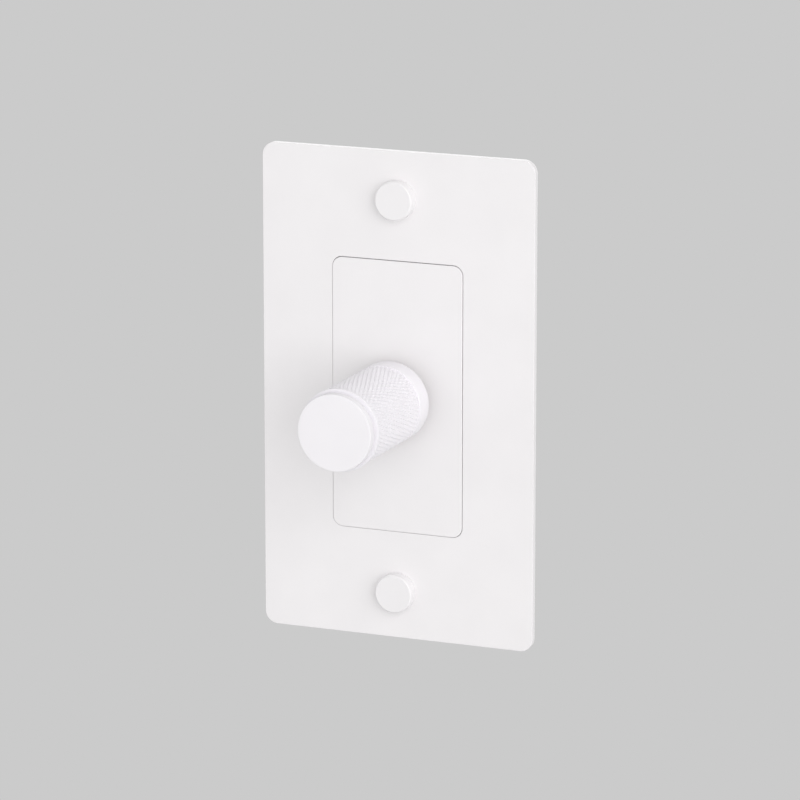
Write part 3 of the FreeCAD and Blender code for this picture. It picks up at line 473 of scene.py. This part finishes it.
def cut_grub_hole(piece):
    """Drills the grub screw's hole through the underside of the knob."""
    low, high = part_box("knob_grub_screw")
    middle = (low + high) / 2
    hole_r = 1.55 * MM
    drill_length = 8 * MM
    drill_height = -8.2 * MM
    bpy.ops.mesh.primitive_cylinder_add(vertices=48, radius=hole_r, depth=drill_length,
                                        location=(middle.x, middle.y, drill_height))
    drill = bpy.context.object
    hole = piece.modifiers.new("grub_hole", "BOOLEAN")
    hole.operation = "DIFFERENCE"
    hole.solver = "EXACT"
    hole.object = drill
    bpy.context.view_layer.update()
    graph = bpy.context.evaluated_depsgraph_get()
    drilled = bpy.data.meshes.new_from_object(piece.evaluated_get(graph))
    piece.modifiers.clear()
    piece.data = drilled
    bpy.data.objects.remove(drill)


def knob_cap():
    """The flat front disc with its rounded rim and the groove behind it."""
    low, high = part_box("knob_cap")
    face, back, radius = low.y, high.y, high.x
    disc_back = face + 2.2 * MM
    groove_back = disc_back + 0.8 * MM
    bevel = 0.18 * MM
    edge = 0.05 * MM
    groove_r = radius - 0.75 * MM
    stud_r = 2.95 * MM
    rows = [(face, share * radius, 0) for share in FACE_RINGS]
    rows += arc_rows(face + bevel, radius - bevel, bevel, -90, 0, steps=5)
    rows += [(disc_back - edge, radius, 0), (disc_back, radius - edge, 0), (disc_back, groove_r, 0),
             (groove_back, groove_r, 0), (groove_back, stud_r, 0), (back, stud_r, 0)]
    vertices, faces = turned(rows, DISC_COLUMNS)
    new_piece("knob_front_disc", vertices, faces, "cap_paint", "knob", ["knob_cap"])


# ---- threads, nut and winding ---------------------------------------------------------------------
THREAD_COLUMNS = 96
THREAD_STEPS = 8
THREAD_SLOPE = 2.4


def thread_rows(y0, y1, radius, pitch):
    """Rows along a thread, each a fraction of a pitch from the last."""
    count = max(2, round((y1 - y0) / pitch * THREAD_STEPS))
    return [(y0 + (y1 - y0) * n / count, radius, 1.0) for n in range(count + 1)]


def thread_relief(rows, pitch, depth):
    """A V thread with a flat root, which climbs one pitch each turn."""
    def relief(i, j):
        turn = (rows[j][0] / pitch - i / THREAD_COLUMNS) % 1.0
        return depth * min(1.0, THREAD_SLOPE * min(turn, 1 - turn))
    return relief


def one_plate_screw(z, top, end, head_r):
    """Vertices and faces of a plain round head with a crisp small chamfer, and its threaded shank."""
    chamfer = 0.3 * MM
    soft = 0.02 * MM
    foot = 0.06 * MM
    face_ring = head_r / 2
    shank_r = 1.7 * MM
    shank_start = 0.2 * MM
    tip = 0.7 * MM
    pitch = 0.79 * MM
    depth = 0.38 * MM
    rows = [(top, face_ring, 0), (top, head_r - chamfer - soft, 0), (top + soft, head_r - chamfer, 0),
            (top + chamfer - soft, head_r - soft, 0), (top + chamfer, head_r, 0),
            (PLATE_FRONT - foot, head_r, 0), (PLATE_FRONT, head_r - foot, 0), (PLATE_FRONT, shank_r, 0)]
    rows += thread_rows(PLATE_FRONT + shank_start, end - tip, shank_r, pitch)
    rows += [(end, shank_r - tip, 0)]
    return turned(rows, THREAD_COLUMNS, thread_relief(rows, pitch, depth), z=z)


def plate_screws():
    """The two screws through the plate, as one piece."""
    low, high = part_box("plate_screws")
    head_r = high.x
    centre_z = high.z - head_r
    vertices = []
    faces = []
    for z in (centre_z, -centre_z):
        more_vertices, more_faces = one_plate_screw(z, low.y, high.y, head_r)
        offset = len(vertices)
        vertices += more_vertices
        faces += [tuple(v + offset for v in face) for face in more_faces]
    new_piece("plate_screw_pair", vertices, faces, "screw_paint", "root", ["plate_screws"])


def bushing():
    """The brass guide of the shaft, with a fine thread in front of its flange."""
    low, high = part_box("bushing")
    bore_r = 3.06 * MM
    outer_r = 4.0 * MM
    flange_r = high.x
    flange_t = 1.0 * MM
    chamfer = 0.4 * MM
    undercut = 0.2 * MM
    pitch = 0.75 * MM
    depth = 0.35 * MM
    edge = 0.1 * MM
    neck = high.y - flange_t
    rows = [(low.y, bore_r, 0), (low.y, outer_r - chamfer, 0), (low.y + chamfer, outer_r, 0)]
    rows += thread_rows(low.y + chamfer, neck - undercut, outer_r, pitch)
    rows += [(neck, outer_r, 0), (neck, flange_r - edge, 0), (neck + edge, flange_r, 0),
             (high.y - edge, flange_r, 0), (high.y, flange_r - edge, 0), (high.y, bore_r, 0)]
    vertices, faces = turned(rows, THREAD_COLUMNS, thread_relief(rows, pitch, depth), ring=True)
    new_piece("threaded_bushing", vertices, faces, "bushing_brass", "root", ["bushing"])


def bushing_nut():
    """The hexagon nut, its corners chamfered at both ends."""
    low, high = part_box("bushing_nut")
    across = high.z - low.z
    corner_r = high.x
    bore_r = 4.05 * MM
    chamfer = 0.35 * MM
    inset = 0.1 * MM
    chamfer_r = across / 2 - inset
    rows = [(low.y, bore_r, 0), (low.y, chamfer_r, 0), (low.y + chamfer, corner_r, 1),
            (high.y - chamfer, corner_r, 1), (high.y, chamfer_r, 0), (high.y, bore_r, 0)]

    def flats(i, j):
        sixth = TAU / 6
        across_corner = TAU * i / THREAD_COLUMNS % sixth - sixth / 2
        return corner_r - across / 2 / math.cos(across_corner)

    vertices, faces = turned(rows, THREAD_COLUMNS, flats, ring=True)
    new_piece("hexagon_nut", vertices, faces, "nut_nickel", "root", ["bushing_nut"])


SIDE_HINT = (1.0, 0.3, 0.1)


def tube(path, radius, sides):
    """Vertices and faces of a closed-ended tube along a list of points."""
    points = np.array(path)
    along = np.gradient(points, axis=0)
    along /= np.linalg.norm(along, axis=1)[:, None]
    side = np.array(SIDE_HINT)
    vertices = []
    for point, forward in zip(points, along):
        side = side - forward * side.dot(forward)
        side /= np.linalg.norm(side)
        up = np.cross(forward, side)
        for n in range(sides):
            angle = TAU * n / sides
            vertices.append(tuple(point + radius * (math.cos(angle) * side + math.sin(angle) * up)))
    faces = []
    for j in range(len(points) - 1):
        for n in range(sides):
            m = (n + 1) % sides
            faces.append((j * sides + n, j * sides + m, (j + 1) * sides + m, (j + 1) * sides + n))
    last = (len(points) - 1) * sides
    faces.append(tuple(reversed(range(sides))))
    faces.append(tuple(range(last, last + sides)))
    return vertices, faces


def choke_winding():
    """One enamelled wire wound round the ferrite ring, turn beside turn."""
    core_low, core_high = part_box("choke_core")
    centre = (core_low + core_high) / 2
    wire_r = 0.42 * MM
    wire_gap = 0.04 * MM
    core_in = 4.4 * MM
    core_out = (core_high.x - core_low.x) / 2
    core_half = (core_high.y - core_low.y) / 2
    lift = wire_r + wire_gap
    corner = 0.9 * MM
    turns = 22
    corner_steps = 5
    first = math.radians(-200)
    swept = math.radians(320)
    middle_r = (core_in + core_out) / 2
    half_r = (core_out - core_in) / 2 + lift - corner
    half_y = core_half + lift - corner
    section = []
    for quarter, (sign_r, sign_y) in enumerate(((1, 1), (-1, 1), (-1, -1), (1, -1))):
        for n in range(corner_steps):
            angle = TAU * (quarter + n / (corner_steps - 1)) / 4
            section.append((middle_r + sign_r * half_r + corner * math.cos(angle),
                            sign_y * half_y + corner * math.sin(angle)))
    count = turns * len(section)
    path = []
    for n in range(count):
        radius, y = section[n % len(section)]
        angle = first + swept * n / count
        path.append((centre.x + radius * math.cos(angle), centre.y + y, centre.z + radius * math.sin(angle)))
    vertices, faces = tube(path, wire_r, sides=8)
    new_piece("choke_wire", vertices, faces, "copper_enamel", "root", ["choke_winding"], sharp_degrees=60)


def switch_coil():
    """The switch's return spring: one round wire with flat ends."""
    low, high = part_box("switch_spring")
    centre = (low + high) / 2
    wire_r = 0.25 * MM
    coil_r = high.x - centre.x - wire_r
    turns = 4.0
    flat_turns = 0.55
    turn_steps = 36
    height = high.y - low.y - 2 * wire_r
    path = []
    for n in range(round(turns * turn_steps) + 1):
        turn = n / turn_steps
        rise = min(1.0, max(0.0, (turn - flat_turns) / (turns - 2 * flat_turns)))
        angle = TAU * turn
        path.append((centre.x + coil_r * math.cos(angle), low.y + wire_r + height * rise,
                     centre.z + coil_r * math.sin(angle)))
    vertices, faces = tube(path, wire_r, sides=10)
    piece = new_piece("switch_coil", vertices, faces, "spring_steel", "root", ["switch_spring"],
                      sharp_degrees=60)
    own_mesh(piece)


# ---- stage, light and camera ---------------------------------------------------------------------------
BACKGROUND = 0.597
FLOOR_DROP = 1.3
FLOOR_HALF = 40.0
LIGHT_DISTANCE = 2.0
VIEW_AZIMUTH = math.radians(22.23)
VIEW_ELEVATION = math.radians(13.51)
VIEW_DISTANCE = 1.1341
VIEW_AIM_X = 0.67 * MM
VIEW_AIM_Z = -0.62 * MM
VIEW_LENS_MM = 212.5
SENSOR_MM = 36
CLIP_NEAR = 0.05
CLIP_FAR = 100


def floor():
    """A wide pale floor well below the object, as even as a light table."""
    half = FLOOR_HALF
    height = cad_low.z - FLOOR_DROP
    corners = [(-half, -half, height), (half, -half, height), (half, half, height), (-half, half, height)]
    mesh = bpy.data.meshes.new("floor")
    mesh.from_pydata(corners, [], [(0, 1, 2, 3)])
    plane = bpy.data.objects.new("floor", mesh)
    bpy.context.scene.collection.objects.link(plane)
    look = bpy.data.materials.new("floor_pale")
    look.use_nodes = True
    tree = look.node_tree
    tree.nodes.clear()
    glow = tree.nodes.new("ShaderNodeEmission")
    glow.inputs["Color"].default_value = (BACKGROUND, BACKGROUND, BACKGROUND, 1)
    out = tree.nodes.new("ShaderNodeOutputMaterial")
    tree.links.new(glow.outputs[0], out.inputs["Surface"])
    mesh.materials.append(look)


def world():
    """Even pale light from all round."""
    scene = bpy.context.scene
    scene.world = bpy.data.worlds.new("studio")
    scene.world.use_nodes = True
    sky = scene.world.node_tree.nodes["Background"]
    sky.inputs["Color"].default_value = (BACKGROUND, BACKGROUND, BACKGROUND, 1)
    sky.inputs["Strength"].default_value = 1.0


def towards(azimuth, elevation):
    """The direction from the object, in radians round from the front and up."""
    level = math.cos(elevation)
    return Vector((math.sin(azimuth) * level, -math.cos(azimuth) * level, math.sin(elevation)))


def softbox(name, azimuth, elevation, size, power):
    """A square soft light aimed at the object, which the camera doesn't see."""
    back = towards(math.radians(azimuth), math.radians(elevation))
    light = bpy.data.lights.new(name, "AREA")
    light.shape = "SQUARE"
    light.size = size
    light.energy = power
    lamp = bpy.data.objects.new(name, light)
    bpy.context.scene.collection.objects.link(lamp)
    lamp.location = back * LIGHT_DISTANCE
    lamp.rotation_mode = "QUATERNION"
    lamp.rotation_quaternion = (-back).to_track_quat("-Z", "Y")
    lamp.visible_camera = False


def lights():
    """A broad key from the right, with weaker lights in front, to the left, low down and behind."""
    softbox("key", azimuth=50, elevation=18, size=1.7, power=13.5)
    softbox("front", azimuth=24, elevation=14, size=1.6, power=8.3)
    softbox("fill", azimuth=-35, elevation=5, size=2.0, power=3.4)
    softbox("low_side", azimuth=75, elevation=-22, size=1.4, power=2.6)
    softbox("back", azimuth=200, elevation=30, size=1.2, power=12.0)


def camera():
    """A long lens at the height and angle of the view that the model is made for."""
    data = bpy.data.cameras.new("camera")
    data.lens = VIEW_LENS_MM
    data.sensor_width = SENSOR_MM
    view = bpy.data.objects.new("camera", data)
    bpy.context.scene.collection.objects.link(view)
    back = towards(VIEW_AZIMUTH, VIEW_ELEVATION)
    aim = Vector((VIEW_AIM_X, PLATE_FRONT, VIEW_AIM_Z))
    view.location = aim + back * VIEW_DISTANCE
    view.rotation_mode = "QUATERNION"
    view.rotation_quaternion = (-back).to_track_quat("-Z", "Y")
    data.clip_start = CLIP_NEAR
    data.clip_end = CLIP_FAR
    bpy.context.scene.camera = view


# ---- put it together ---------------------------------------------------------------------------------------
bpy.context.scene.view_settings.view_transform = "Standard"
camera()
world()
lights()
floor()
dress_cad_nodes()
knob_body()
knob_cap()
plate_screws()
bushing()
bushing_nut()
choke_winding()
switch_coil()
